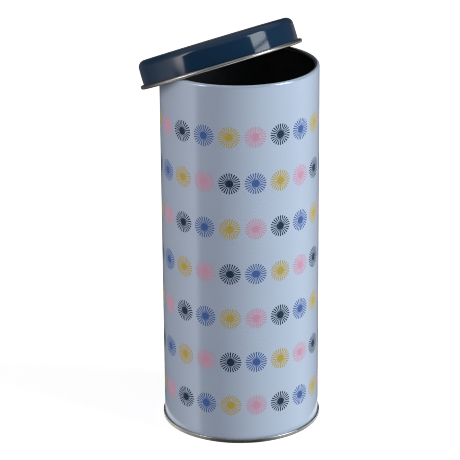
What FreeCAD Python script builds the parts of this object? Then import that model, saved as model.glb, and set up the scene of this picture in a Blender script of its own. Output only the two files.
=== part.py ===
import FreeCAD, Part
import math
import os

import Sketcher
from FreeCAD import Placement, Rotation, Vector

# A tall round tinplate canister with a slip lid left askew on its rim.
# +Z is up, the origin is the centre of the ring that the tin stands on, and sizes are in millimetres.

SIZES = {
    # tinplate
    "sheet": 0.25,                # thickness of the body, base and lid
    # body
    "body_radius": 49.5,          # outside of the wall
    "body_height": 234.9,         # foot to the top of the rim
    "rim_curl_width": 3.1,        # diameter of the roll around the mouth
    "rim_curl_turn": 300,         # how far the roll is wound, in degrees
    "lap_width": 1.2,             # welded lap of the side seam
    "lap_step": 0.15,             # how far the lap stands into the tin
    "lap_turn": -7.65,            # from straight behind, in degrees
    "lap_bottom": 4.5,
    "lap_top": 231.0,
    # double seam around the base
    "seam_height": 2.6,
    "layer_gap": 0.08,            # room between the layers of the seam
    "body_hook": 1.1,             # straight part of the body's upturned edge
    "cover_hook": 1.2,            # straight part of the base's turned-in edge
    "foot_bend": 0.25,            # inside radius of the two bends beside the foot
    # base panel
    "panel_rise": 3.6,            # foot to the underside of the middle panel
    "ring_rise": 2.8,             # foot to the underside of the ring around it
    "panel_radius": 37.0,         # flat part of the middle panel
    "panel_slope": 35,            # angle of the step between them, in degrees
    "panel_bend": 1.0,            # inside radius of the bends of the panel
    # sealing compound in the base seam
    "compound_width": 0.34,
    "compound_rest": 0.03,        # room between the compound and the body hook
    # lid
    "lid_height": 17.4,
    "lid_fit": 0.15,              # room between the wall and the lid's skirt
    "lid_corner": 4.5,            # outside radius of the drawn corner
    "lid_curl_width": 2.6,        # diameter of the roll around the lid's edge
    "lid_curl_turn": 310,         # how far the roll is wound, in degrees
    # how the lid lies on the rim: its low side hangs outside the wall
    "lid_tilt": 22.05,            # from level, in degrees
    "lid_heading": 138.4,         # compass angle of the low side from +X, in degrees
    "lid_shift": 14.39,           # at this shift the roll bears on the rim at both sides
    "rest_gap": 0.12,             # room left where the lid rests on the rim
}

LEFT, RIGHT = 0, 1
START, END, CENTRE = 1, 2, 3
ORIGIN, UP_AXIS = -1, -2

HOOK_BEND = "(Sizes.sheet / 2 + Sizes.layer_gap)"
HOOK_SPACE = f"(2 * {HOOK_BEND})"
SEAM_RADIUS = f"(Sizes.body_radius + {HOOK_SPACE} + 2 * Sizes.sheet + Sizes.layer_gap)"
BODY_BEND_HEIGHT = f"(2 * Sizes.sheet + Sizes.layer_gap + {HOOK_BEND})"
COVER_BEND_HEIGHT = f"(Sizes.seam_height - Sizes.sheet - {HOOK_BEND})"
COVER_BEND_RADIUS = f"({SEAM_RADIUS} - Sizes.sheet - {HOOK_BEND})"


def make_sizes(doc):
    sheet = doc.addObject("Spreadsheet::Sheet", "Sizes")
    for row, (name, size) in enumerate(SIZES.items(), start=1):
        sheet.set(f"A{row}", name)
        sheet.set(f"B{row}", str(size))
        sheet.setAlias(f"B{row}", name)
    doc.recompute()


def value(obj, expression):
    return float(obj.evalExpression(expression))


def origin_plane(body, role):
    return next(item for item in body.Origin.OriginFeatures if item.Role == role)


def new_sketch(body, name, plane):
    sketch = body.newObject("Sketcher::SketchObject", name)
    sketch.AttachmentSupport = (origin_plane(body, plane), [""])
    sketch.MapMode = "FlatFace"
    return sketch


class Strip:
    """The section of a sheet that is bent to shape, drawn in a sketch as one closed outline.

    Straight runs and round bends follow each other from one end of the sheet to the other.
    The outline's left and right sides stay one thickness apart. Headings are in degrees:
    0 is outwards and 90 is up.
    """

    def __init__(self, sketch, start, heading):
        self.sketch = sketch
        self.sheet = value(sketch, "Sizes.sheet")
        self.point = start
        self.heading = heading
        self.last = None
        self.bends = 0

    def bind(self, constraint, name, expression):
        index = self.sketch.addConstraint(constraint)
        self.sketch.renameConstraint(index, name)
        self.sketch.setExpression(f"Constraints.{name}", expression)

    def towards(self, angle, distance):
        turned = math.radians(angle)
        return Vector(distance * math.cos(turned), distance * math.sin(turned), 0)

    def join(self, pieces):
        """pieces holds, for the left and right sides, (geometry, its first end, its last end)."""
        if self.last:
            for before, after in zip(self.last, pieces):
                joint = Sketcher.Constraint("Tangent", before[0], before[2], after[0], after[1])
                self.sketch.addConstraint(joint)
        self.last = pieces
        return pieces

    def run(self, name, length, bound=True):
        """A straight run. An unbound length is only a first guess, and later sizes settle it."""
        ahead = self.towards(self.heading, value(self.sketch, length))
        pieces = []
        for side in (90, -90):
            begin = self.point + self.towards(self.heading + side, self.sheet / 2)
            line = self.sketch.addGeometry(Part.LineSegment(begin, begin + ahead), False)
            pieces.append((line, START, END))
        left, right = pieces[LEFT][0], pieces[RIGHT][0]
        if self.heading % 180 == 0:
            self.sketch.addConstraint(Sketcher.Constraint("Horizontal", left))
        elif self.heading % 180 == 90:
            self.sketch.addConstraint(Sketcher.Constraint("Vertical", left))
        self.sketch.addConstraint(Sketcher.Constraint("Parallel", left, right))
        self.join(pieces)
        self.point = self.point + ahead
        if bound:
            self.bind(Sketcher.Constraint("Distance", left, ahead.Length), name, length)
        return pieces

    def bend(self, name, inner_radius, turn):
        """A bend about a centre on its inner side. A positive turn is to the left."""
        inner = value(self.sketch, inner_radius)
        to_left = turn > 0
        to_centre = 90 if to_left else -90
        centre = self.point + self.towards(self.heading + to_centre, inner + self.sheet / 2)
        begin = math.radians(self.heading - to_centre)
        finish = begin + math.radians(turn)
        radii = (inner, inner + self.sheet) if to_left else (inner + self.sheet, inner)
        pieces = []
        for radius in radii:
            circle = Part.Circle(centre, Vector(0, 0, 1), radius)
            arc = Part.ArcOfCircle(circle, min(begin, finish), max(begin, finish))
            ends = (START, END) if to_left else (END, START)
            pieces.append((self.sketch.addGeometry(arc, False), *ends))
        left, right = pieces[LEFT][0], pieces[RIGHT][0]
        self.join(pieces)
        self.sketch.addConstraint(Sketcher.Constraint("Coincident", left, CENTRE, right, CENTRE))
        inside, outside = (left, right) if to_left else (right, left)
        self.bind(Sketcher.Constraint("Radius", inside, inner), name, inner_radius)
        if self.bends == 0:
            # the first bend gives the sheet its thickness, and tangency carries it along
            thick = Sketcher.Constraint("Radius", outside, inner + self.sheet)
            self.bind(thick, f"{name}_outside", f"{inner_radius} + Sizes.sheet")
        self.bends += 1
        self.heading += turn
        self.point = centre + self.towards(self.heading - to_centre, inner + self.sheet / 2)
        return pieces

    def position(self, name, piece, corner, axis, expression):
        """Fixes one coordinate of a point of the outline, measured from the origin."""
        kind = "DistanceX" if axis == "x" else "DistanceY"
        size = value(self.sketch, expression)
        constraint = Sketcher.Constraint(kind, ORIGIN, START, piece[0], corner, size)
        self.bind(constraint, name, expression)

    def cap(self, pieces, which):
        """The cut edge of the sheet at one end of the outline."""
        left, right = pieces
        corners = [self.sketch.getPoint(side[0], side[which]) for side in (left, right)]
        edge = self.sketch.addGeometry(Part.LineSegment(*corners), False)
        joints = zip((START, END), (left, right))
        for corner, side in joints:
            meet = Sketcher.Constraint("Coincident", edge, corner, side[0], side[which])
            self.sketch.addConstraint(meet)
        return edge

    def square_cap(self, pieces, which):
        edge = self.cap(pieces, which)
        self.sketch.addConstraint(Sketcher.Constraint("Perpendicular", edge, pieces[LEFT][0]))

    def radial_cap(self, name, pieces, which, expression):
        """The cut edge at the end of a bend. The expression is the edge's own direction."""
        edge = self.cap(pieces, which)
        through_centre = Sketcher.Constraint("PointOnObject", pieces[LEFT][0], CENTRE, edge)
        self.sketch.addConstraint(through_centre)
        line = self.sketch.Geometry[edge]
        run = line.EndPoint - line.StartPoint
        angle = Sketcher.Constraint("Angle", edge, math.atan2(run.y, run.x))
        self.bind(angle, name, expression)


def revolve(body, sketch, name):
    feature = body.newObject("PartDesign::Revolution", name)
    feature.Profile = sketch
    feature.ReferenceAxis = (sketch, ["V_Axis"])
    feature.Angle = 360
    return feature


def make_body_shell(doc):
    """A rolled and welded cylinder: rolled in at the mouth, and hooked outwards at the base."""
    body = doc.addObject("PartDesign::Body", "body_shell")
    sketch = new_sketch(body, "wall_section", "XZ_Plane")
    curl_radius = "Sizes.rim_curl_width / 2"
    curl_height = "Sizes.body_height - Sizes.rim_curl_width / 2"

    turn = value(sketch, "Sizes.rim_curl_turn")
    wall_middle = value(sketch, "Sizes.body_radius - Sizes.sheet / 2")
    curl_middle = value(sketch, f"{curl_radius} - Sizes.sheet / 2")
    curl_centre = Vector(wall_middle - curl_middle, value(sketch, curl_height), 0)
    tip = math.radians(turn)
    start = curl_centre + Vector(math.cos(tip), math.sin(tip), 0) * curl_middle

    strip = Strip(sketch, start, turn - 90)
    curl = strip.bend("rim_curl", f"{curl_radius} - Sizes.sheet", -turn)
    wall = strip.run("wall", f"{curl_height} - {BODY_BEND_HEIGHT}", bound=False)
    hook_bend = strip.bend("hook_bend", HOOK_BEND, 180)
    hook = strip.run("hook", "Sizes.body_hook")
    strip.position("wall_radius", wall[LEFT], START, "x", "Sizes.body_radius")
    strip.position("curl_height", curl[LEFT], CENTRE, "y", curl_height)
    strip.position("hook_bend_height", hook_bend[LEFT], CENTRE, "y", BODY_BEND_HEIGHT)
    strip.radial_cap("curl_tip", curl, 1, "(Sizes.rim_curl_turn - 180) * 1 deg")
    strip.square_cap(hook, 2)
    revolve(body, sketch, "wall_of_revolution")
    doc.recompute()
    add_side_lap(body)
    return body


def add_side_lap(body):
    """The welded lap down the back of the tin, which stands a little into it."""
    sketch = new_sketch(body, "lap_section", "XY_Plane")
    turned = Rotation(Vector(0, 0, 1), value(sketch, "Sizes.lap_turn"))
    sketch.AttachmentOffset = Placement(Vector(), turned)
    sketch.setExpression("AttachmentOffset.Base.z", "Sizes.lap_bottom")
    sketch.setExpression("AttachmentOffset.Rotation.Angle", "Sizes.lap_turn * 1 deg")
    outer = "Sizes.body_radius - Sizes.sheet / 2"
    depth = "Sizes.lap_step + Sizes.sheet / 2"
    half = value(sketch, "Sizes.lap_width / 2")
    back = value(sketch, outer)
    front = back - value(sketch, depth)
    corners = [Vector(-half, front, 0), Vector(half, front, 0), Vector(half, back, 0), Vector(-half, back, 0)]
    edges = []
    for corner, following in zip(corners, corners[1:] + corners[:1]):
        edges.append(sketch.addGeometry(Part.LineSegment(corner, following), False))
    for index, edge in enumerate(edges):
        following = edges[(index + 1) % len(edges)]
        sketch.addConstraint(Sketcher.Constraint("Coincident", edge, END, following, START))
        direction = "Horizontal" if index % 2 == 0 else "Vertical"
        sketch.addConstraint(Sketcher.Constraint(direction, edge))
    near, side, far = edges[:3]
    bound = {
        "lap_width": (Sketcher.Constraint("Distance", near, 2 * half), "Sizes.lap_width"),
        "lap_depth": (Sketcher.Constraint("Distance", side, back - front), depth),
        "lap_place": (Sketcher.Constraint("DistanceY", ORIGIN, START, far, START, back), outer),
        "lap_side": (Sketcher.Constraint("DistanceX", ORIGIN, START, near, END, half), "Sizes.lap_width / 2"),
    }
    for name, (constraint, expression) in bound.items():
        sketch.renameConstraint(sketch.addConstraint(constraint), name)
        sketch.setExpression(f"Constraints.{name}", expression)
    pad = body.newObject("PartDesign::Pad", "side_lap")
    pad.Profile = sketch
    pad.setExpression("Length", "Sizes.lap_top - Sizes.lap_bottom")


def make_base_end(doc):
    """The stamped base: a stepped panel, a wall down to the foot, and the hook of the double seam."""
    body = doc.addObject("PartDesign::Body", "base_end")
    sketch = new_sketch(body, "base_section", "XZ_Plane")
    panel_top = "Sizes.panel_rise + Sizes.sheet"
    chuck_radius = "Sizes.body_radius - Sizes.sheet - Sizes.layer_gap"
    ring_length = f"{chuck_radius} - Sizes.panel_radius - 3.2 * Sizes.panel_bend"
    slope = value(sketch, "Sizes.panel_slope")

    start = Vector(0, value(sketch, f"{panel_top} - Sizes.sheet / 2"), 0)
    strip = Strip(sketch, start, 0)
    panel = strip.run("panel", "Sizes.panel_radius")
    strip.bend("step_out", "Sizes.panel_bend", -slope)
    step = strip.run("step", "Sizes.panel_rise - Sizes.ring_rise", bound=False)
    strip.bend("step_in", "Sizes.panel_bend", slope)
    ring = strip.run("ring", ring_length, bound=False)
    strip.bend("shoulder", "Sizes.panel_bend", -90)
    chuck_wall = strip.run("chuck_wall", "Sizes.foot_bend", bound=False)
    strip.bend("inner_foot_bend", "Sizes.foot_bend", 90)
    foot = strip.run("foot", "Sizes.foot_bend", bound=False)
    strip.bend("outer_foot_bend", "Sizes.foot_bend", 90)
    seam_wall = strip.run("seam_wall", "Sizes.body_hook", bound=False)
    cover_bend = strip.bend("cover_bend", HOOK_BEND, 180)
    hook = strip.run("cover_hook", "Sizes.cover_hook")

    sketch.addConstraint(Sketcher.Constraint("PointOnObject", panel[LEFT][0], START, UP_AXIS))
    strip.position("panel_height", panel[LEFT], START, "y", panel_top)
    fall = Sketcher.Constraint("Angle", step[LEFT][0], -math.radians(slope))
    strip.bind(fall, "step_slope", "-Sizes.panel_slope * 1 deg")
    strip.position("ring_height", ring[LEFT], START, "y", "Sizes.ring_rise + Sizes.sheet")
    strip.position("chuck_radius", chuck_wall[LEFT], START, "x", chuck_radius)
    sketch.addConstraint(Sketcher.Constraint("PointOnObject", foot[RIGHT][0], START, ORIGIN))
    strip.position("seam_radius", seam_wall[RIGHT], START, "x", SEAM_RADIUS)
    strip.position("cover_bend_height", cover_bend[LEFT], CENTRE, "y", COVER_BEND_HEIGHT)
    strip.square_cap(panel, 1)
    strip.square_cap(hook, 2)
    revolve(body, sketch, "base_of_revolution")
    return body


def make_seam_compound(doc):
    """The ring of sealing compound under the base's turned-in edge, above the body hook."""
    ring = doc.addObject("Part::Torus", "seam_compound")
    hook_top = f"({BODY_BEND_HEIGHT} + Sizes.body_hook)"
    ring.setExpression("Radius1", COVER_BEND_RADIUS)
    ring.setExpression("Radius2", "Sizes.compound_width / 2")
    height = f"{hook_top} + Sizes.compound_rest + Sizes.compound_width / 2"
    ring.setExpression("Placement.Base.z", height)
    return ring


def make_slip_lid(doc):
    """One drawn cap, rolled outwards at its edge, lying tilted and shifted across the rim."""
    body = doc.addObject("PartDesign::Body", "slip_lid")
    sketch = new_sketch(body, "lid_section", "XZ_Plane")
    skirt_radius = "Sizes.body_radius + Sizes.lid_fit + Sizes.sheet"
    corner_bend = "Sizes.lid_corner - Sizes.sheet"
    curl_radius = "Sizes.lid_curl_width / 2"
    skirt_length = f"Sizes.lid_height - Sizes.lid_corner - {curl_radius}"

    start = Vector(0, value(sketch, "Sizes.lid_height - Sizes.sheet / 2"), 0)
    strip = Strip(sketch, start, 0)
    panel = strip.run("panel", f"{skirt_radius} - Sizes.lid_corner", bound=False)
    strip.bend("corner", corner_bend, -90)
    skirt = strip.run("skirt", skirt_length, bound=False)
    curl = strip.bend("lid_curl", f"{curl_radius} - Sizes.sheet", value(sketch, "Sizes.lid_curl_turn"))
    sketch.addConstraint(Sketcher.Constraint("PointOnObject", panel[LEFT][0], START, UP_AXIS))
    strip.position("lid_top", panel[LEFT], START, "y", "Sizes.lid_height")
    strip.position("skirt_radius", skirt[LEFT], START, "x", skirt_radius)
    strip.position("curl_height", curl[LEFT], CENTRE, "y", curl_radius)
    strip.square_cap(panel, 1)
    strip.radial_cap("curl_tip", curl, 2, "(Sizes.lid_curl_turn - 180) * 1 deg")
    revolve(body, sketch, "lid_of_revolution")
    rest_on_rim(body)
    return body


def rest_on_rim(lid):
    """The panel's underside bears on the rim at the low side, and the roll at two points beside."""
    tilt = "(Sizes.lid_tilt * 1 deg)"
    heading = "(Sizes.lid_heading * 1 deg)"
    rim_roll = "(Sizes.rim_curl_width / 2)"
    reach = f"(Sizes.body_radius - {rim_roll}) * sin{tilt} + (Sizes.body_height - {rim_roll}) * cos{tilt}"
    underside = "(Sizes.lid_height - Sizes.sheet)"
    climb = f"{reach} + {rim_roll} + Sizes.rest_gap - {underside} - Sizes.lid_shift * sin{tilt}"
    lid.setExpression("Placement.Base.x", f"Sizes.lid_shift * cos{heading}")
    lid.setExpression("Placement.Base.y", f"Sizes.lid_shift * sin{heading}")
    lid.setExpression("Placement.Base.z", f"({climb}) / cos{tilt}")
    angle = math.radians(value(lid, "Sizes.lid_heading"))
    lean = Rotation(Vector(-math.sin(angle), math.cos(angle), 0), value(lid, "Sizes.lid_tilt"))
    lid.Placement = Placement(lid.Placement.Base, lean)
    lid.setExpression("Placement.Rotation.Angle", "Sizes.lid_tilt * 1 deg")


def check(doc, parts):
    for obj in doc.Objects:
        if {"Invalid", "Error"} & set(obj.State):
            raise RuntimeError(f"{obj.Name} is {obj.State}")
    for part in parts:
        if part.Shape.isNull() or not part.Shape.isValid() or len(part.Shape.Solids) != 1:
            raise RuntimeError(f"{part.Label} is not one valid solid")


def main():
    doc = FreeCAD.newDocument("spice_tin")
    make_sizes(doc)
    parts = [make_body_shell(doc), make_base_end(doc), make_seam_compound(doc), make_slip_lid(doc)]
    doc.recompute()
    check(doc, parts)
    os.makedirs("parts", exist_ok=True)
    for part in parts:
        part.Shape.exportStep(f"parts/{part.Label}.step")


main()
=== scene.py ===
import math

import bpy
from mathutils import Matrix, Vector
from mathutils.geometry import delaunay_2d_cdt


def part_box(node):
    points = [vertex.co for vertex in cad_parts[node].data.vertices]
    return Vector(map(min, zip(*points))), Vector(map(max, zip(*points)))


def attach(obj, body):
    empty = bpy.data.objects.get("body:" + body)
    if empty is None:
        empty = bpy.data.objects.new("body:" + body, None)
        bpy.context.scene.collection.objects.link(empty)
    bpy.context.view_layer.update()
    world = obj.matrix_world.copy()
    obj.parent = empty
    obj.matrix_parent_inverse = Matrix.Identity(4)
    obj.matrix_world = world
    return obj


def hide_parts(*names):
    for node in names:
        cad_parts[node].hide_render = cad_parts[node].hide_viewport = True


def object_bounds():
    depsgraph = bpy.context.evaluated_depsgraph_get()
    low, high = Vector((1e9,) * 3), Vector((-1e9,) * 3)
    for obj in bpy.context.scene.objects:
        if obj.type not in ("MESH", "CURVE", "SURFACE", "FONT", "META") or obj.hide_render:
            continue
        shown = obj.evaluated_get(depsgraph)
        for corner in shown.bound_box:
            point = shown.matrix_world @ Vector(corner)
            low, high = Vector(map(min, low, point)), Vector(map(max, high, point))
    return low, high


# A tall round tinplate canister printed with rows of bursts, whose navy slip lid lies askew on its rim.
# Lengths of the tin are in millimetres until a mesh is made. The stage, lights and camera are in metres.
# A heading is in degrees from the front, which is -Y, counted towards +X.

MM = 0.001
DEG = math.pi / 180

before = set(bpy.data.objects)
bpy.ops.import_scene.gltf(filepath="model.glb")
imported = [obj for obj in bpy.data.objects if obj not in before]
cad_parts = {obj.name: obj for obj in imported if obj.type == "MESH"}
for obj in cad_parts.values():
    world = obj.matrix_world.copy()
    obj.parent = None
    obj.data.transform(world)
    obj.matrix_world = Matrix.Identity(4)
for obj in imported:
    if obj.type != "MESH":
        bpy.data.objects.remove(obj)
CAD_LOW, CAD_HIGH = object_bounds()

# ---- sizes of the tin, as in its CAD source ----
SHEET = 0.25
BODY_RADIUS = 49.5
BODY_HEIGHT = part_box("body_shell")[1].z / MM
RIM_CURL = 3.1                # across the roll at the mouth
RIM_TURN = 300                # how far round that roll goes, in degrees
HOOK_BEND = 0.205             # inside radius of the hook in the base seam
HOOK_HEIGHT = 0.785           # height of the middle of its bend
HOOK_LENGTH = 1.1
LAP_WIDTH = 1.2
LAP_STEP = 0.15               # how far the welded lap stands into the tin
LAP_BOTTOM = 4.5
LAP_TOP = 231.0
LAP_HEADING = 172.35

LID_HEIGHT = 17.4
LID_SKIRT = 49.9              # outside radius of the lid's skirt
LID_CORNER = 4.5              # radius of the bend between skirt and panel
LID_CURL = 2.6                # across the roll at the lid's edge
LID_TURN = 310                # how far round that roll goes, in degrees
LID_TILT = 22.05 * DEG
LID_BEARING = 138.4 * DEG     # the way the lid has slid, from +X towards +Y
LID_SHIFT = 14.39             # how far it has slid
REST_GAP = 0.12               # room between the lid and the rim

# ---- what only the drawn pieces have ----
PAINT_TURN = 85               # how far round the roll at the mouth the enamel reaches, in degrees
LAP_SUNK = 0.05               # how far the lap's back is set into the wall
LAP_SOFT = 0.04               # how much lower the lap is at its two edges
LID_SHAVE = 0.9996            # the drawn lid is this much of its solid, so that it stays inside it
LID_BARREL = 0.12             # how far the drawn skirt swells between its ends

# ---- the print: rows of bursts, each a dot with rays ----
COLUMNS = 19
COLUMN_STEP = 18.75           # in degrees; the rest of the turn is a plain margin at the seam
PINK_COLUMN = -63.9           # heading of a column whose lowest burst is pink
COLUMNS_BEFORE = 6            # columns between the seam and that one
ROWS = 7
ROW_STEP = 29.47
LOWEST_ROW = 25.7
ROW_SHIFTS = (0, 2)           # a row's colours start where its neighbour's third one is
DOT_RADIUS = 2.4
RAYS = 24
RAY_LENGTH = 6.8              # centre of the dot to a ray's tip
RAY_ROOT = 0.40               # width of a ray at the dot
RAY_TIP = 0.82                # width of a ray at its shoulders, just before the tip
RAY_SHOULDER = 0.22           # from the shoulders to the tip, as a share of that width
RAY_BLUNT = 0.56              # width of the blunt tip, as a share of that width
SEAM_EDGE = LAP_WIDTH / 2 / BODY_RADIUS / DEG
MARGIN = 360 - COLUMNS * COLUMN_STEP

# ---- how finely the drawn pieces are divided ----
TILE_STRIPS = 8               # upright strips in one burst's tile, which let it bend round the wall
WHOLE_TILE = 0                # the triangulation keeps all of the tile
TILE_SLACK = 1e-6             # points of a tile nearer than this are one
SAME_PLACE = 4                # decimals to which two points of a skin are one
SAME_HEADING = 0.01           # degrees within which two headings are one
RIM_STEPS = 60
RIM_INSIDE_STEPS = 40
HOOK_STEPS = 16
HOOK_INSIDE_STEPS = 12
LAP_STEPS = 90
LID_HEADINGS = 192
SKIRT_STEPS = 14
CORNER_STEPS = 20
CORNER_INSIDE_STEPS = 16
LID_CURL_STEPS = 60
LID_CURL_INSIDE_STEPS = 30
PANEL_RINGS = (1.0, 0.985, 0.9, 0.7, 0.5, 0.3, 0.12, 0.0)    # shares of the panel's radius


def around(radius, heading, height):
    """The point, or the direction, at a heading."""
    turn = heading * DEG
    return (radius * math.sin(turn), -radius * math.cos(turn), height)


# ---------------------------------------------------------------- materials
TIN = (0.60, 0.585, 0.555)
TIN_TARNISH = (0.33, 0.325, 0.32)
# the tinplate inside the tin is painted much darker than the bare tin outside: painted shade for the gloom
# down inside the tin
SHADED_INNER_TIN = (0.17, 0.17, 0.18)
SHADED_INNER_TARNISH = (0.12, 0.12, 0.13)
COMPOUND = (0.060, 0.062, 0.055)
COMPOUND_DEEP = (0.030, 0.032, 0.030)
PALE_BLUE = (0.47, 0.555, 0.68)
PALE_BLUE_DEEP = (0.45, 0.535, 0.665)
NAVY_ENAMEL = (0.0062, 0.031, 0.071)
NAVY_ENAMEL_DEEP = (0.0052, 0.026, 0.062)
INKS = {
    "ink_pink": (0.62, 0.30, 0.42),
    "ink_navy": (0.008, 0.030, 0.070),
    "ink_blue": (0.055, 0.125, 0.36),
    "ink_yellow": (0.50, 0.37, 0.055),
}

# a span is the stretch of noise values over which an effect goes from none to full
CLOUD_SPAN = (0.3, 0.7)
RUB_SPAN = (0.60, 0.78)
RUB_STRETCH = (1, 1, 0.12)    # rubbed marks run up and down
CHIP_SPAN = (0.66, 0.70)
INK_SPAN = (0.35, 0.75)
PINHOLE_SPAN = (0.74, 0.80)
TARNISH_SPAN = (0.35, 0.62)
POLISH_SPAN = (0.35, 0.65)
LUMP_SPAN = (0.35, 0.7)
ENAMEL_IOR = 1.5
GLOSS_SPREAD = 0.03           # how far the enamel's roughness varies with its clouds
RUBBED_ROUGH = 0.10           # what a rubbed mark adds to the roughness
CHIPPED_ROUGH = 0.15          # what a chip adds to it
RIM_WEAR = (1.2, 0.1)         # millimetres under the rim's top where chips begin and are fully there
THIN_INK = 0.03               # how much of the ground shows through the thinnest ink
PINHOLE_DEPTH = 0.8           # how much of it shows in a pinhole
INK_ROUGH = (0.30, 0.38)
INK_SHINE = 0.1
PEEL_STRENGTH = 0.12
PEEL_DEPTH = 0.00004          # in metres, as a bump's distance is
CLOUD_WEIGHT = 0.6            # bare tin's tone is this much cloud and the rest drawn lines
TARNISHED_ROUGH = 0.09        # how much rougher than its gloss bare tin is where it's tarnished
POLISHED_ROUGH = 0.05         # and how much smoother where it's bright
LINE_STRENGTH = 0.25
LINE_DEPTH = 0.00002
COMPOUND_ROUGH = (0.55, 0.75)
LUMP_STRENGTH = 0.4
LUMP_DEPTH = 0.0001


class Graph:
    """The nodes of one material or of the world. A value is a number, a colour or a node's output."""

    def __init__(self, owner):
        owner.use_nodes = True
        self.nodes = owner.node_tree.nodes
        self.links = owner.node_tree.links

    def feed(self, socket, value):
        if isinstance(value, bpy.types.NodeSocket):
            self.links.new(value, socket)
        elif isinstance(value, tuple):
            socket.default_value = (*value, 1)
        else:
            socket.default_value = value

    def position(self, stretch=(1, 1, 1)):
        """The place on the object, in metres, times a factor along each axis."""
        coords = self.nodes.new("ShaderNodeTexCoord")
        mapping = self.nodes.new("ShaderNodeMapping")
        mapping.inputs["Scale"].default_value = stretch
        self.links.new(coords.outputs["Object"], mapping.inputs["Vector"])
        return mapping.outputs["Vector"]

    def axes(self, kind="Object"):
        """X, Y and Z of the place on the object, or of another kind of coordinates."""
        coords = self.nodes.new("ShaderNodeTexCoord")
        split = self.nodes.new("ShaderNodeSeparateXYZ")
        self.links.new(coords.outputs[kind], split.inputs["Vector"])
        return split.outputs

    def noise(self, vector, scale, detail, rough):
        node = self.nodes.new("ShaderNodeTexNoise")
        self.feed(node.inputs["Scale"], scale)
        self.feed(node.inputs["Detail"], detail)
        self.feed(node.inputs["Roughness"], rough)
        self.feed(node.inputs["Vector"], vector)
        return node.outputs["Fac"]

    def remap(self, value, low, high, to_low=0.0, to_high=1.0):
        node = self.nodes.new("ShaderNodeMapRange")
        self.feed(node.inputs["From Min"], low)
        self.feed(node.inputs["From Max"], high)
        self.feed(node.inputs["To Min"], to_low)
        self.feed(node.inputs["To Max"], to_high)
        self.feed(node.inputs["Value"], value)
        return node.outputs["Result"]

    def maths(self, kind, first, second):
        node = self.nodes.new("ShaderNodeMath")
        node.operation = kind
        self.feed(node.inputs[0], first)
        self.feed(node.inputs[1], second)
        return node.outputs["Value"]

    def mix_colour(self, share, first, second):
        """The first colour at a share of 0 and the second at 1."""
        node = self.nodes.new("ShaderNodeMix")
        node.data_type = "RGBA"
        self.feed(node.inputs["Factor"], share)
        self.feed(node.inputs["A"], first)
        self.feed(node.inputs["B"], second)
        return node.outputs["Result"]

    def bump(self, shader, height, strength, distance):
        node = self.nodes.new("ShaderNodeBump")
        self.feed(node.inputs["Strength"], strength)
        self.feed(node.inputs["Distance"], distance)
        self.feed(node.inputs["Height"], height)
        self.feed(shader.inputs["Normal"], node.outputs["Normal"])

    def heading_share(self, axes):
        """The heading of a place or direction as a share of the full turn, with the front at a half."""
        to_front = self.maths("MULTIPLY", axes["Y"], -1.0)
        heading = self.maths("ARCTAN2", axes["X"], to_front)
        return self.remap(heading, -math.pi, math.pi)

    def ramp(self, share, stops):
        """The colour at a share of the full turn, from stops of (heading, colour)."""
        node = self.nodes.new("ShaderNodeValToRGB")
        self.feed(node.inputs["Fac"], share)
        elements = node.color_ramp.elements
        elements.remove(elements[-1])
        for index, (heading, colour) in enumerate(stops):
            place = (heading + 180) / 360
            stop = elements[0] if index == 0 else elements.new(place)
            stop.position = place
            stop.color = (*colour, 1)
        return node.outputs["Color"]


def new_material(name):
    mat = bpy.data.materials.new(name)
    graph = Graph(mat)
    return mat, graph, graph.nodes["Principled BSDF"]


def add_orange_peel(graph, shader, even):
    peel = graph.noise(even, scale=650, detail=2.0, rough=0.5)
    graph.bump(shader, peel, PEEL_STRENGTH, PEEL_DEPTH)


def enamel(name, colour, deep, gloss, shine, chipped_rim=False):
    """Stoved enamel over tinplate: slightly uneven in tone, with orange peel and fine rubbed marks."""
    mat, graph, shader = new_material(name)
    even = graph.position()
    cloud = graph.noise(even, scale=22, detail=4.0, rough=0.55)
    base = graph.mix_colour(graph.remap(cloud, *CLOUD_SPAN), deep, colour)
    rubs = graph.noise(graph.position(RUB_STRETCH), scale=900, detail=2.0, rough=0.6)
    rubbed = graph.remap(rubs, *RUB_SPAN)
    clouded = graph.remap(cloud, *CLOUD_SPAN, gloss - GLOSS_SPREAD, gloss + GLOSS_SPREAD)
    rough = graph.maths("ADD", clouded, graph.maths("MULTIPLY", rubbed, RUBBED_ROUGH))
    if chipped_rim:
        chips = graph.noise(even, scale=420, detail=5.0, rough=0.65)
        near_top = graph.remap(graph.axes()["Z"], *[(BODY_HEIGHT - depth) * MM for depth in RIM_WEAR])
        worn = graph.maths("MULTIPLY", near_top, graph.remap(chips, *CHIP_SPAN))
        base = graph.mix_colour(worn, base, TIN_TARNISH)
        rough = graph.maths("ADD", rough, graph.maths("MULTIPLY", worn, CHIPPED_ROUGH))
    graph.feed(shader.inputs["Base Color"], base)
    graph.feed(shader.inputs["Roughness"], rough)
    graph.feed(shader.inputs["IOR"], ENAMEL_IOR)
    graph.feed(shader.inputs["Metallic"], shine)
    add_orange_peel(graph, shader, even)
    return mat


def ink(name, colour):
    """Printed ink, duller than the enamel, a little uneven and with pinholes where the ground shows."""
    mat, graph, shader = new_material(name)
    even = graph.position()
    cloud = graph.noise(even, scale=260, detail=4.0, rough=0.6)
    thin = tuple((1 - THIN_INK) * full + THIN_INK * ground for full, ground in zip(colour, PALE_BLUE))
    base = graph.mix_colour(graph.remap(cloud, *INK_SPAN), colour, thin)
    pin = graph.noise(even, scale=2600, detail=1.0, rough=0.5)
    pinhole = graph.remap(pin, *PINHOLE_SPAN, 0.0, PINHOLE_DEPTH)
    base = graph.mix_colour(pinhole, base, PALE_BLUE)
    graph.feed(shader.inputs["Base Color"], base)
    graph.feed(shader.inputs["Roughness"], graph.remap(cloud, *CLOUD_SPAN, *INK_ROUGH))
    graph.feed(shader.inputs["Specular IOR Level"], INK_SHINE)
    add_orange_peel(graph, shader, even)
    return mat


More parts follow.
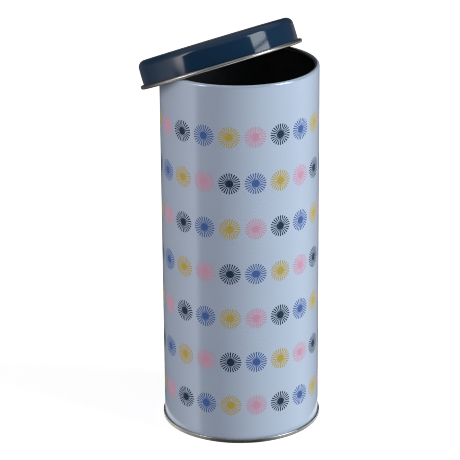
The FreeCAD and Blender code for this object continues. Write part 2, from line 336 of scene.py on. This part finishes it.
def tinplate(name, bright, tarnish, gloss, grain, metal=1.0):
    """Bare tinplate: metal with drawn lines along the grain and clouds of tarnish."""
    mat, graph, shader = new_material(name)
    cloud = graph.noise(graph.position(), scale=60, detail=5.0, rough=0.6)
    lines = graph.noise(graph.position(grain), scale=1.0, detail=3.0, rough=0.6)
    mixed = graph.maths("ADD", graph.maths("MULTIPLY", cloud, CLOUD_WEIGHT),
                        graph.maths("MULTIPLY", lines, 1 - CLOUD_WEIGHT))
    base = graph.mix_colour(graph.remap(mixed, *TARNISH_SPAN), tarnish, bright)
    graph.feed(shader.inputs["Base Color"], base)
    rough = graph.remap(mixed, *POLISH_SPAN, gloss + TARNISHED_ROUGH, gloss - POLISHED_ROUGH)
    graph.feed(shader.inputs["Roughness"], rough)
    graph.feed(shader.inputs["Metallic"], metal)
    graph.bump(shader, lines, LINE_STRENGTH, LINE_DEPTH)
    return mat


def rubber(name, pale, deep):
    """Flowed-in sealing compound: dull, dark and faintly lumpy."""
    mat, graph, shader = new_material(name)
    cloud = graph.noise(graph.position(), scale=900, detail=4.0, rough=0.6)
    base = graph.mix_colour(graph.remap(cloud, *LUMP_SPAN), deep, pale)
    graph.feed(shader.inputs["Base Color"], base)
    graph.feed(shader.inputs["Roughness"], graph.remap(cloud, *CLOUD_SPAN, *COMPOUND_ROUGH))
    graph.bump(shader, cloud, LUMP_STRENGTH, LUMP_DEPTH)
    return mat


body_enamel = enamel("body_enamel", PALE_BLUE, PALE_BLUE_DEEP, gloss=0.14, shine=0.2, chipped_rim=True)
lid_enamel = enamel("lid_enamel_navy", NAVY_ENAMEL, NAVY_ENAMEL_DEEP, gloss=0.09, shine=0.0)
weld_tin = tinplate("weld_tinplate", TIN, TIN_TARNISH, gloss=0.34, grain=(900, 900, 60))
# inside wall, inner side of the mouth's roll and the welded lap: a darker copy of bare tinplate, as painted
# shade inside the tin
shaded_inner_tin = tinplate("shaded_inner_tinplate", SHADED_INNER_TIN, SHADED_INNER_TARNISH, gloss=0.34, grain=(30, 30, 1400), metal=0.6)
roll_tin = tinplate("roll_tinplate", TIN, TIN_TARNISH, gloss=0.26, grain=(30, 30, 900))
base_tin = tinplate("base_tinplate", TIN, TIN_TARNISH, gloss=0.24, grain=(40, 900, 900))
compound_rubber = rubber("compound_rubber", COMPOUND, COMPOUND_DEEP)
ink_materials = [ink(name, colour) for name, colour in INKS.items()]


# ---------------------------------------------------------------- mesh building
class Skin:
    """Points, faces, slots and exact surface normals of one piece, in millimetres."""

    def __init__(self):
        self.points = []
        self.index = {}
        self.faces = []
        self.slots = []
        self.normals = []

    def vertex(self, point):
        key = tuple(round(value, SAME_PLACE) for value in point)
        if key not in self.index:
            self.index[key] = len(self.points)
            self.points.append(point)
        return self.index[key]

    def face(self, corners, normals, slot):
        """Adds a face. A corner on the same place as the one before is left out, and so is a sliver."""
        found = [self.vertex(corner) for corner in corners]
        kept = [i for i in range(len(found)) if found[i] != found[i - 1]]
        if len(kept) < 3:
            return
        self.faces.append([found[i] for i in kept])
        self.normals.extend(normals[i] for i in kept)
        self.slots.append(slot)

    def build(self, name, materials, place=Matrix.Identity(4)):
        mesh = bpy.data.meshes.new(name)
        mesh.from_pydata([place @ (Vector(p) * MM) for p in self.points], [], self.faces)
        for mat in materials:
            mesh.materials.append(mat)
        mesh.polygons.foreach_set("material_index", self.slots)
        mesh.polygons.foreach_set("use_smooth", [True] * len(self.faces))
        turn = place.to_3x3()
        mesh.normals_split_custom_set([(turn @ Vector(n)).normalized() for n in self.normals])
        obj = bpy.data.objects.new(name, mesh)
        bpy.context.scene.collection.objects.link(obj)
        return obj


# A section path is a list of ((radius, height), normal), with the normal in the same two directions.

def arc(centre, radius, begin, finish, steps):
    """An arc of a section path, with angles in degrees from outwards."""
    found = []
    for step in range(steps + 1):
        angle = (begin + (finish - begin) * step / steps) * DEG
        out = (math.cos(angle), math.sin(angle))
        found.append(((centre[0] + radius * out[0], centre[1] + radius * out[1]), out))
    return found


def upright(radius, begin, finish, facing):
    """A straight stretch of a section path at one radius, which faces outwards (1) or inwards (-1)."""
    return [((radius, begin), (facing, 0)), ((radius, finish), (facing, 0))]


def flipped(path):
    """The other side of a sheet: the same points with normals turned over."""
    return [(point, (-normal[0], -normal[1])) for point, normal in path]


def even_headings(count):
    return [360 * index / count for index in range(count)]


def add_revolved(skin, path, headings, slot):
    """Revolves a section path. The slot is a number, or a function of the heading where a strip starts."""
    for (low, low_normal), (high, high_normal) in zip(path, path[1:]):
        for index, heading in enumerate(headings):
            following = headings[(index + 1) % len(headings)]
            corners = [around(low[0], heading, low[1]), around(low[0], following, low[1]),
                       around(high[0], following, high[1]), around(high[0], heading, high[1])]
            normals = [around(low_normal[0], heading, low_normal[1]),
                       around(low_normal[0], following, low_normal[1]),
                       around(high_normal[0], following, high_normal[1]),
                       around(high_normal[0], heading, high_normal[1])]
            skin.face(corners, normals, slot(heading) if callable(slot) else slot)


def add_cap(skin, first, second, headings, slot):
    """The cut edge of the sheet between two section points."""
    across = (second[0] - first[0], second[1] - first[1])
    length = math.hypot(*across)
    normal = (across[1] / length, -across[0] / length)
    add_revolved(skin, [(first, normal), (second, normal)], headings, slot)


# ---------------------------------------------------------------- the printed body
SHELL_ENAMEL = 0
SHELL_WELD = 1
SHELL_INSIDE = 2
SHELL_ROLL = 3
SHELL_FIRST_INK = 4


def burst_outline():
    """The outline of one burst, as points about its centre."""
    root = math.sqrt(DOT_RADIUS ** 2 - (RAY_ROOT / 2) ** 2)
    shoulder = RAY_LENGTH - RAY_SHOULDER * RAY_TIP
    outline = []
    for ray in range(RAYS):
        middle = 90 * DEG + ray * 2 * math.pi / RAYS
        out = Vector((math.cos(middle), math.sin(middle)))
        side = Vector((-out.y, out.x))
        outline += [out * root - side * RAY_ROOT / 2,
                    out * shoulder - side * RAY_TIP / 2,
                    out * RAY_LENGTH - side * RAY_TIP * RAY_BLUNT / 2,
                    out * RAY_LENGTH + side * RAY_TIP * RAY_BLUNT / 2,
                    out * shoulder + side * RAY_TIP / 2,
                    out * root + side * RAY_ROOT / 2]
    return outline


def make_tile():
    """One tile of the print, flat: (points, triangles, whether each triangle is inked)."""
    half_width = COLUMN_STEP * DEG * BODY_RADIUS / 2
    half_height = ROW_STEP / 2
    points = burst_outline()
    burst = list(range(len(points)))
    edges = []
    bottom, top = [], []
    for index in range(TILE_STRIPS + 1):
        x = (2 * index / TILE_STRIPS - 1) * half_width
        bottom.append(len(points))
        points.append(Vector((x, -half_height)))
        top.append(len(points))
        points.append(Vector((x, half_height)))
        edges.append((bottom[-1], top[-1]))
    for line in (bottom, top):
        edges += list(zip(line, line[1:]))
    found, _, faces, _, _, origin = delaunay_2d_cdt(points, edges, [burst], WHOLE_TILE, TILE_SLACK, True)
    return found, faces, [bool(names) for names in origin]


def columns():
    """The columns of bursts from one side of the seam round to the other."""
    return range(-COLUMNS_BEFORE, COLUMNS - COLUMNS_BEFORE)


def column_heading(column):
    return PINK_COLUMN + COLUMN_STEP * column


def margin_headings():
    """Upright lines of the plain margin: its two sides, and between them the two sides of the weld."""
    left = column_heading(columns()[-1]) + COLUMN_STEP / 2
    return [left, left + MARGIN / 2 - SEAM_EDGE, left + MARGIN / 2 + SEAM_EDGE, left + MARGIN]


def body_headings():
    found = []
    for column in columns():
        left = column_heading(column) - COLUMN_STEP / 2
        found += [left + COLUMN_STEP * index / TILE_STRIPS for index in range(TILE_STRIPS)]
    return found + margin_headings()[:-1]


def outer_slot(heading):
    """The slot of the body's outside: enamel, but for the bare strip along the weld."""
    on_weld = abs(heading - margin_headings()[1]) < SAME_HEADING
    return SHELL_WELD if on_weld else SHELL_ENAMEL


def add_mouth(skin, headings):
    """The top of the wall and the roll that turns in from it, enamelled only on its outer part."""
    print_top = LOWEST_ROW + (ROWS - 0.5) * ROW_STEP
    middle = (BODY_RADIUS - RIM_CURL / 2, BODY_HEIGHT - RIM_CURL / 2)
    outside = arc(middle, RIM_CURL / 2, 0, RIM_TURN, RIM_STEPS)
    inside = flipped(arc(middle, RIM_CURL / 2 - SHEET, RIM_TURN, 0, RIM_INSIDE_STEPS))
    paint_end = RIM_STEPS * PAINT_TURN // RIM_TURN
    painted = [((BODY_RADIUS, print_top), (1, 0))] + outside[:paint_end + 1]
    add_revolved(skin, painted, headings, outer_slot)
    add_revolved(skin, outside[paint_end:], headings, SHELL_ROLL)
    add_cap(skin, outside[-1][0], inside[0][0], headings, SHELL_INSIDE)
    add_revolved(skin, inside, headings, SHELL_INSIDE)
    wall_inside = upright(BODY_RADIUS - SHEET, middle[1], HOOK_HEIGHT, -1)
    add_revolved(skin, wall_inside, headings, SHELL_INSIDE)


def add_hook(skin, headings):
    """The hook inside the base seam, and the wall from there up to the print."""
    middle = (BODY_RADIUS + HOOK_BEND, HOOK_HEIGHT)
    top = HOOK_HEIGHT + HOOK_LENGTH
    inner_face = BODY_RADIUS + 2 * HOOK_BEND
    outer_face = inner_face + SHEET
    print_bottom = LOWEST_ROW - ROW_STEP / 2
    add_revolved(skin, arc(middle, HOOK_BEND + SHEET, 180, 360, HOOK_STEPS), headings, SHELL_INSIDE)
    add_revolved(skin, upright(outer_face, HOOK_HEIGHT, top, 1), headings, outer_slot)
    add_cap(skin, (outer_face, top), (inner_face, top), headings, SHELL_INSIDE)
    add_revolved(skin, upright(inner_face, top, HOOK_HEIGHT, -1), headings, outer_slot)
    hook_inside = flipped(arc(middle, HOOK_BEND, 360, 180, HOOK_INSIDE_STEPS))
    add_revolved(skin, hook_inside, headings, outer_slot)
    add_revolved(skin, upright(BODY_RADIUS, HOOK_HEIGHT, print_bottom, 1), headings, outer_slot)


def add_on_wall(skin, places, slot):
    """A face on the outside of the wall, whose corners are (heading, height)."""
    skin.face([around(BODY_RADIUS, *place) for place in places],
              [around(1.0, heading, 0.0) for heading, _ in places], slot)


def add_print(skin):
    """The printed wall, tile by tile, with the plain margin at the end of each row."""
    points, faces, inked = make_tile()
    for row in range(ROWS):
        middle = LOWEST_ROW + row * ROW_STEP
        shift = ROW_SHIFTS[row % len(ROW_SHIFTS)]
        for column in columns():
            heading = column_heading(column)
            ink_slot = SHELL_FIRST_INK + (column + shift) % len(INKS)
            for face, is_ink in zip(faces, inked):
                places = [(heading + points[i].x / BODY_RADIUS / DEG, middle + points[i].y) for i in face]
                add_on_wall(skin, places, ink_slot if is_ink else SHELL_ENAMEL)
        low, high = middle - ROW_STEP / 2, middle + ROW_STEP / 2
        for left, right in zip(margin_headings(), margin_headings()[1:]):
            places = [(left, low), (right, low), (right, high), (left, high)]
            add_on_wall(skin, places, outer_slot(left))


def make_tin_body():
    """The printed shell: roll at the mouth, printed wall, and the hook inside the base seam."""
    skin = Skin()
    headings = body_headings()
    add_mouth(skin, headings)
    add_hook(skin, headings)
    add_print(skin)
    return skin.build("tin_body", [body_enamel, weld_tin, shaded_inner_tin, roll_tin, *ink_materials])


def make_side_lap():
    """The welded lap standing a little into the tin, down its back."""
    skin = Skin()
    inner = BODY_RADIUS - SHEET
    back_radius = inner + LAP_SUNK
    front_radius = inner - LAP_STEP
    front_radii = (front_radius + LAP_SOFT, front_radius, front_radius, front_radius + LAP_SOFT)
    half = LAP_WIDTH / 2 / inner / DEG
    across = [LAP_HEADING - half, LAP_HEADING - half / 3, LAP_HEADING + half / 3, LAP_HEADING + half]
    heights = [LAP_BOTTOM + (LAP_TOP - LAP_BOTTOM) * step / LAP_STEPS for step in range(LAP_STEPS + 1)]
    front = [[around(radius, heading, height) for radius, heading in zip(front_radii, across)]
             for height in heights]
    back = [[around(back_radius, heading, height) for heading in across] for height in heights]
    outwards = around(1.0, LAP_HEADING, 0.0)
    inwards = tuple(-value for value in outwards)
    for low, high in zip(front, front[1:]):
        for index in range(3):
            skin.face([low[index + 1], low[index], high[index], high[index + 1]], [inwards] * 4, 0)
    for side, sign in ((0, -1), (3, 1)):
        sideways = tuple(sign * value for value in around(1.0, across[side] + 90, 0.0))
        for step in range(LAP_STEPS):
            corners = [front[step][side], back[step][side], back[step + 1][side], front[step + 1][side]]
            skin.face(corners if sign < 0 else corners[::-1], [sideways] * 4, 0)
    for level, facing in ((0, -1), (LAP_STEPS, 1)):
        end = front[level] + back[level][::-1]
        skin.face(end if facing > 0 else end[::-1], [(0, 0, facing)] * len(end), 0)
    for low, high in zip(back, back[1:]):
        for index in range(3):
            skin.face([low[index], low[index + 1], high[index + 1], high[index]], [outwards] * 4, 0)
    # the lap has the inside's darkened tinplate, which is painted shade
    return skin.build("side_lap", [shaded_inner_tin])


# ---------------------------------------------------------------- the lid
LID_PAINT = 0
LID_BARE = 1


def lid_place():
    """Where the lid lies: tilted and slid to one side, its panel just clear of the rim at the low side."""
    roll = RIM_CURL / 2
    reach = (BODY_RADIUS - roll) * math.sin(LID_TILT) + (BODY_HEIGHT - roll) * math.cos(LID_TILT)
    climb = reach + roll + REST_GAP - (LID_HEIGHT - SHEET) - LID_SHIFT * math.sin(LID_TILT)
    centre = Vector((LID_SHIFT * math.cos(LID_BEARING), LID_SHIFT * math.sin(LID_BEARING),
                     climb / math.cos(LID_TILT)))
    lean = Matrix.Rotation(LID_TILT, 4, Vector((-math.sin(LID_BEARING), math.cos(LID_BEARING), 0)))
    return Matrix.Translation(centre * MM) @ lean @ Matrix.Scale(LID_SHAVE, 4)


def skirt_path(radius, facing):
    """The skirt from the roll up to the corner, swelling a little between them."""
    low, high = LID_CURL / 2, LID_HEIGHT - LID_CORNER
    path = []
    for step in range(SKIRT_STEPS + 1):
        share = step / SKIRT_STEPS
        swell = LID_BARREL * math.sin(math.pi * share)
        slope = -LID_BARREL * math.pi * math.cos(math.pi * share) / (high - low)
        length = math.hypot(1, slope)
        path.append(((radius + swell, low + (high - low) * share),
                     (facing / length, facing * slope / length)))
    return path


def panel_path(height, facing):
    """The flat top from the corner in to the middle."""
    return [(((LID_SKIRT - LID_CORNER) * share, height), (0, facing)) for share in PANEL_RINGS]


def make_lid():
    """The drawn cap: navy outside, bare inside and on its outward roll."""
    skin = Skin()
    headings = even_headings(LID_HEADINGS)
    curl_middle = (LID_SKIRT + LID_CURL / 2 - SHEET, LID_CURL / 2)
    corner_middle = (LID_SKIRT - LID_CORNER, LID_HEIGHT - LID_CORNER)
    corner = arc(corner_middle, LID_CORNER, 0, 90, CORNER_STEPS)
    outside = skirt_path(LID_SKIRT, 1) + corner + panel_path(LID_HEIGHT, 1)
    add_revolved(skin, outside, headings, LID_PAINT)
    turned = 180 + LID_TURN
    curl_hidden = flipped(arc(curl_middle, LID_CURL / 2 - SHEET, turned, 180, LID_CURL_INSIDE_STEPS))
    add_revolved(skin, curl_hidden, headings, LID_PAINT)
    curl_shown = arc(curl_middle, LID_CURL / 2, 180, turned, LID_CURL_STEPS)
    add_revolved(skin, curl_shown, headings, LID_BARE)
    add_cap(skin, curl_shown[-1][0], curl_hidden[0][0], headings, LID_BARE)
    inner_corner = flipped(arc(corner_middle, LID_CORNER - SHEET, 90, 0, CORNER_INSIDE_STEPS))
    inner_panel = panel_path(LID_HEIGHT - SHEET, -1)[::-1]
    inside = inner_panel + inner_corner + skirt_path(LID_SKIRT - SHEET, -1)[::-1]
    add_revolved(skin, inside, headings, LID_BARE)
    return skin.build("lid", [lid_enamel, roll_tin], lid_place())


# ---------------------------------------------------------------- pieces on their bodies
tin_body = make_tin_body()
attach(tin_body, "tin")
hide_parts("body_shell")

side_lap = make_side_lap()
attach(side_lap, "tin")

lid = make_lid()
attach(lid, "lid")
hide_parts("slip_lid")

for node, finish in (("base_end", base_tin), ("seam_compound", compound_rubber)):
    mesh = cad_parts[node].data
    for index in range(len(mesh.materials)):
        mesh.materials[index] = finish


# ---------------------------------------------------------------- stage, lights and camera
FLOOR_RADIUS = 4.0
FLOOR_SIDES = 48
FLOOR_DROP = 0.00002          # the floor is this much under the tin
FLOOR_GREY = (0.55, 0.55, 0.55)
FLOOR_GLOW = 0.72
FOOT_RING_INNER = 51.0        # in millimetres, like the tin
FOOT_RING_OUTER = 57.0
FOOT_RING_SIDES = 96
FOOT_RING_DROP = 0.00001

# The studio: colours by heading, which the tin mirrors and is lit by.
LOW_STUDIO = (                # from below the horizon
    (-180, (0.08, 0.08, 0.09)),
    (-125, (0.12, 0.12, 0.13)),
    (-105, (0.26, 0.25, 0.26)),
    (-85, (0.60, 0.58, 0.59)),
    (-69, (0.88, 0.85, 0.87)),
    (-60, (0.21, 0.21, 0.23)),
    (-32, (0.19, 0.19, 0.21)),
    (-15, (0.40, 0.40, 0.42)),
    (0, (0.60, 0.60, 0.62)),
    (30, (0.90, 0.91, 0.94)),
    (60, (1.05, 1.07, 1.09)),
    (100, (1.15, 1.17, 1.18)),
    (135, (0.46, 0.46, 0.47)),
    (180, (0.08, 0.08, 0.09)),
)
MIDDLE_STUDIO = (             # from above it
    (-180, (0.03, 0.03, 0.035)),
    (-120, (0.06, 0.06, 0.065)),
    (-95, (0.28, 0.28, 0.28)),
    (-82, (0.58, 0.56, 0.56)),
    (-72, (1.10, 1.06, 1.03)),
    (-65, (2.10, 2.00, 1.95)),
    (-59, (4.40, 4.20, 4.15)),
    (-51, (4.40, 4.20, 4.15)),
    (-48, (0.06, 0.06, 0.065)),
    (45, (0.05, 0.05, 0.055)),
    (60, (0.12, 0.12, 0.13)),
    (130, (0.10, 0.10, 0.11)),
    (180, (0.03, 0.03, 0.035)),
)
OVERHEAD = (0.37, 0.37, 0.38)
FOOT_RING = (                 # what the base seam mirrors of the table just round the foot
    (-180, (0.08, 0.08, 0.09)),
    (-125, (0.14, 0.14, 0.15)),
    (-108, (0.30, 0.29, 0.30)),
    (-88, (0.85, 0.83, 0.81)),
    (-66, (1.00, 0.97, 0.94)),
    (-46, (0.50, 0.49, 0.47)),
    (-22, (0.06, 0.06, 0.06)),
    (12, (0.03, 0.03, 0.03)),
    (40, (0.40, 0.40, 0.41)),
    (75, (1.05, 1.06, 1.08)),
    (110, (1.05, 1.06, 1.08)),
    (135, (0.40, 0.40, 0.41)),
    (180, (0.08, 0.08, 0.09)),
)
# the Z of a direction, from -1 to 1, over which one part of the studio gives way to the next
LOW_TO_MIDDLE = (-0.20, -0.04)
MIDDLE_TO_OVERHEAD = (0.38, 0.70)

# name, heading and elevation in degrees, width and height, watts, colour, whether it is mirrored
SOFTBOXES = (
    ("window_upper", 68, 35.1, 0.80, 0.72, 10.3, (0.92, 1.0, 1.06), True),
    ("window_lower", 68, 13.2, 0.80, 0.56, 8.0, (0.92, 1.0, 1.06), True),
    ("right_fill", 72, 12, 0.80, 0.80, 6.6, (0.95, 1.0, 1.04), False),
    ("side_fill", -92, 24, 0.80, 0.80, 9.0, (1.0, 0.98, 1.0), False),
)
SOFTBOX_DISTANCE = 1.8        # from the middle of the tin

# The camera stands in front of the tin and looks down on it.
CAMERA_BACK = 1.3953
CAMERA_HEIGHT = 0.6437
CAMERA_PITCH = 20.391 * DEG
CAMERA_YAW = 0.268 * DEG
CAMERA_ROLL = -0.445 * DEG
CAMERA_LENS = 184.1           # in millimetres, as the sensor is
CAMERA_SENSOR = 36
CAMERA_NEAR = 0.05
CAMERA_FAR = 50
FILTER_WIDTH = 1.0            # in pixels


def make_floor():
    """A pale floor that only the camera sees: it is neither mirrored nor lights the tin."""
    points = [(FLOOR_RADIUS * math.cos(angle * DEG), FLOOR_RADIUS * math.sin(angle * DEG), 0)
              for angle in even_headings(FLOOR_SIDES)]
    mesh = bpy.data.meshes.new("floor")
    mesh.from_pydata(points, [], [list(range(FLOOR_SIDES))])
    floor = bpy.data.objects.new("floor", mesh)
    floor.location.z = CAD_LOW.z - FLOOR_DROP
    bpy.context.scene.collection.objects.link(floor)
    mat, graph, shader = new_material("floor_white")
    graph.feed(shader.inputs["Base Color"], FLOOR_GREY)
    graph.feed(shader.inputs["Roughness"], 1.0)
    graph.feed(shader.inputs["Emission Color"], (1, 1, 1))
    graph.feed(shader.inputs["Emission Strength"], FLOOR_GLOW)
    mesh.materials.append(mat)
    floor.visible_diffuse = False
    floor.visible_glossy = False


def make_foot_ring():
    """A ring of table round the foot that only mirrors see: pale at both sides and dark in front."""
    skin = Skin()
    flat = [((FOOT_RING_OUTER, 0.0), (0, 1)), ((FOOT_RING_INNER, 0.0), (0, 1))]
    add_revolved(skin, flat, even_headings(FOOT_RING_SIDES), 0)
    mat, graph, shader = new_material("foot_ring")
    graph.feed(shader.inputs["Base Color"], (0, 0, 0))
    graph.feed(shader.inputs["Emission Color"], graph.ramp(graph.heading_share(graph.axes()), FOOT_RING))
    graph.feed(shader.inputs["Emission Strength"], 1.0)
    ring = skin.build("foot_ring", [mat])
    ring.location.z = CAD_LOW.z - FOOT_RING_DROP
    ring.visible_camera = False
    ring.visible_diffuse = False
    ring.visible_shadow = False


def make_world():
    """The studio round the tin. The camera sees plain white in its place."""
    world = bpy.data.worlds.new("studio")
    graph = Graph(world)
    bpy.context.scene.world = world
    axes = graph.axes("Generated")
    share = graph.heading_share(axes)
    low_ring = graph.ramp(share, LOW_STUDIO)
    middle_ring = graph.ramp(share, MIDDLE_STUDIO)
    ring = graph.mix_colour(graph.remap(axes["Z"], *LOW_TO_MIDDLE), low_ring, middle_ring)
    studio = graph.mix_colour(graph.remap(axes["Z"], *MIDDLE_TO_OVERHEAD), ring, OVERHEAD)
    background = graph.nodes["Background"]
    graph.feed(background.inputs["Color"], studio)
    white = graph.nodes.new("ShaderNodeBackground")
    graph.feed(white.inputs["Color"], (1, 1, 1))
    seen_by = graph.nodes.new("ShaderNodeLightPath")
    mix = graph.nodes.new("ShaderNodeMixShader")
    graph.feed(mix.inputs["Fac"], seen_by.outputs["Is Camera Ray"])
    graph.feed(mix.inputs[1], background.outputs["Background"])
    graph.feed(mix.inputs[2], white.outputs["Background"])
    graph.feed(graph.nodes["World Output"].inputs["Surface"], mix.outputs["Shader"])


def make_softbox(name, heading, elevation, width, height, watts, colour, mirrored):
    """A soft light turned to the middle of the tin, which the camera doesn't see."""
    data = bpy.data.lights.new(name, "AREA")
    data.shape = "RECTANGLE"
    data.size = width
    data.size_y = height
    data.energy = watts
    data.color = colour
    lamp = bpy.data.objects.new(name, data)
    aim = Vector((0, 0, 0.5 * (CAD_LOW.z + CAD_HIGH.z)))
    back = Vector(around(math.cos(elevation * DEG), heading, math.sin(elevation * DEG)))
    lamp.location = aim + back * SOFTBOX_DISTANCE
    lamp.rotation_euler = (-back).to_track_quat("-Z", "Y").to_euler()
    lamp.visible_camera = False
    lamp.visible_glossy = mirrored
    bpy.context.scene.collection.objects.link(lamp)


def make_camera():
    data = bpy.data.cameras.new("camera")
    data.lens = CAMERA_LENS
    data.sensor_width = CAMERA_SENSOR
    data.clip_start = CAMERA_NEAR
    data.clip_end = CAMERA_FAR
    camera = bpy.data.objects.new("camera", data)
    camera.location = (0, -CAMERA_BACK, CAMERA_HEIGHT)
    turned = Matrix.Rotation(CAMERA_YAW, 4, "Z") @ Matrix.Rotation(math.pi / 2 - CAMERA_PITCH, 4, "X")
    camera.rotation_euler = (turned @ Matrix.Rotation(CAMERA_ROLL, 4, "Z")).to_euler()
    bpy.context.scene.collection.objects.link(camera)
    bpy.context.scene.camera = camera


make_floor()
make_world()
make_foot_ring()
for softbox in SOFTBOXES:
    make_softbox(*softbox)
make_camera()

bpy.context.scene.view_settings.view_transform = "Standard"
# the rays of the bursts are about a pixel wide, so the picture is filtered and denoised lightly
bpy.context.scene.cycles.filter_width = FILTER_WIDTH
bpy.context.scene.cycles.denoising_prefilter = "NONE"
